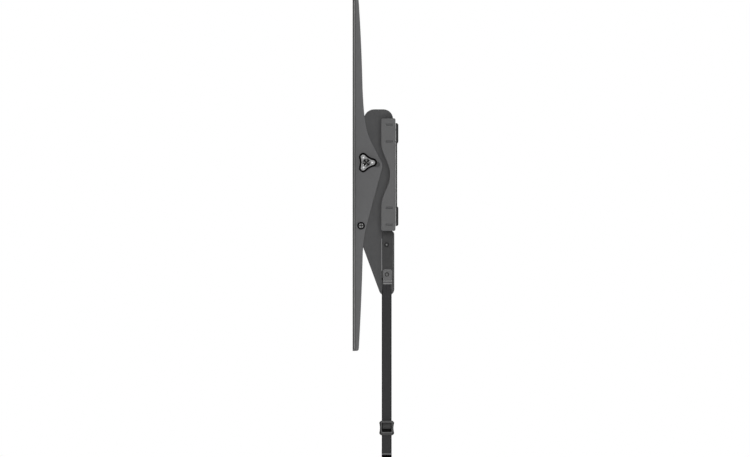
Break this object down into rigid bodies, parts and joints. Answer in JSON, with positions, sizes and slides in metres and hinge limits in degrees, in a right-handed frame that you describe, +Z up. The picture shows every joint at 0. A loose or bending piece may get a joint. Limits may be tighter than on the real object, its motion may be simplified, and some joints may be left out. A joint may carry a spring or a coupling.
{
  "type": "tilting tv wall mount",
  "caption": "Low-profile tilting television wall mount: hooked brackets on a wall plate, lobed tilt knobs and spring latches with pull straps.",
  "frame": {"origin": "centre of the wall plate's wall contact face, midway between the two rows of lag bolt slots", "axes": "+X along the wall plate, +Y into the wall, -Y to the television and the room, +Z up"},
  "size_m": [0.68, 0.057, 0.592],
  "materials": {
    "plate_steel": "satin powder coat",
    "bracket_steel": "satin powder coat",
    "cap_plastic": "fine moulded texture",
    "latch_plastic": "fine moulded texture",
    "knob_plastic": "fine moulded texture",
    "nylon": "natural",
    "zinc": "zinc plated",
    "webbing": "woven"
  },
  "bodies": {
    "wall_plate": {"wall_plate": "plate_steel", "end_cap_left": "cap_plastic", "end_cap_right": "cap_plastic"},
    "hook_left": {"hook_plate_left": "plate_steel", "hook_liner_left": "nylon", "tilt_bolt_left": "zinc", "friction_washers_left": "nylon", "pivot_screw_left": "zinc", "pivot_nut_left": "zinc", "latch_guide_left": "bracket_steel", "latch_housing_left": "latch_plastic", "latch_screw_left": "zinc", "latch_spring_left": "zinc", "knob_washer_left": "zinc"},
    "upright_left": {"upright_left": "bracket_steel"},
    "knob_left": {"knob_left": "knob_plastic", "knob_insert_left": "zinc"},
    "latch_left": {"latch_slider_left": "latch_plastic", "strap_anchor_left": "bracket_steel", "anchor_rivet_left": "zinc", "strap_left": "webbing", "buckle_left": "latch_plastic", "strap_crimp_left": "zinc", "pull_tab_left": "knob_plastic", "pull_magnet_left": "zinc"},
    "hook_right": {"hook_plate_right": "plate_steel", "hook_liner_right": "nylon", "tilt_bolt_right": "zinc", "friction_washers_right": "nylon", "pivot_screw_right": "zinc", "pivot_nut_right": "zinc", "latch_guide_right": "bracket_steel", "latch_housing_right": "latch_plastic", "latch_screw_right": "zinc", "latch_spring_right": "zinc", "knob_washer_right": "zinc"},
    "upright_right": {"upright_right": "bracket_steel"},
    "knob_right": {"knob_right": "knob_plastic", "knob_insert_right": "zinc"},
    "latch_right": {"latch_slider_right": "latch_plastic", "strap_anchor_right": "bracket_steel", "anchor_rivet_right": "zinc", "strap_right": "webbing", "buckle_right": "latch_plastic", "strap_crimp_right": "zinc", "pull_tab_right": "knob_plastic", "pull_magnet_right": "zinc"}
  },
  "joints": [
    {"name": "bracket_slide_left", "type": "slide", "parent": "wall_plate", "child": "hook_left", "axis": [1, 0, 0], "range_m": [-0.075, 0.075]},
    {"name": "tilt_left", "type": "hinge", "parent": "hook_left", "child": "upright_left", "pos_m": [0, -0.0464, -0.0635], "axis": [1, 0, 0], "range_deg": [0, 10]},
    {"name": "knob_turn_left", "type": "hinge", "parent": "hook_left", "child": "knob_left", "pos_m": [0, -0.0398, 0.0154], "axis": [-1, 0, 0], "range_deg": [0, 180]},
    {"name": "latch_pull_left", "type": "slide", "parent": "hook_left", "child": "latch_left", "axis": [0, 0, -1], "range_m": [0, 0.01], "stiffness_N_per_m": 300, "springref_m": -0.01, "deforming": ["latch_spring_left"]},
    {"name": "bracket_slide_right", "type": "slide", "parent": "wall_plate", "child": "hook_right", "axis": [1, 0, 0], "range_m": [-0.075, 0.075]},
    {"name": "tilt_right", "type": "hinge", "parent": "hook_right", "child": "upright_right", "pos_m": [0, -0.0464, -0.0635], "axis": [1, 0, 0], "range_deg": [0, 10]},
    {"name": "knob_turn_right", "type": "hinge", "parent": "hook_right", "child": "knob_right", "pos_m": [0, -0.0398, 0.0154], "axis": [1, 0, 0], "range_deg": [0, 180]},
    {"name": "latch_pull_right", "type": "slide", "parent": "hook_right", "child": "latch_right", "axis": [0, 0, -1], "range_m": [0, 0.01], "stiffness_N_per_m": 300, "springref_m": -0.01, "deforming": ["latch_spring_right"]}
  ],
  "couplings": [
    {"joint": "bracket_slide_right", "follows": "bracket_slide_left", "ratio": 1},
    {"joint": "tilt_right", "follows": "tilt_left", "ratio": 1}
  ]
}
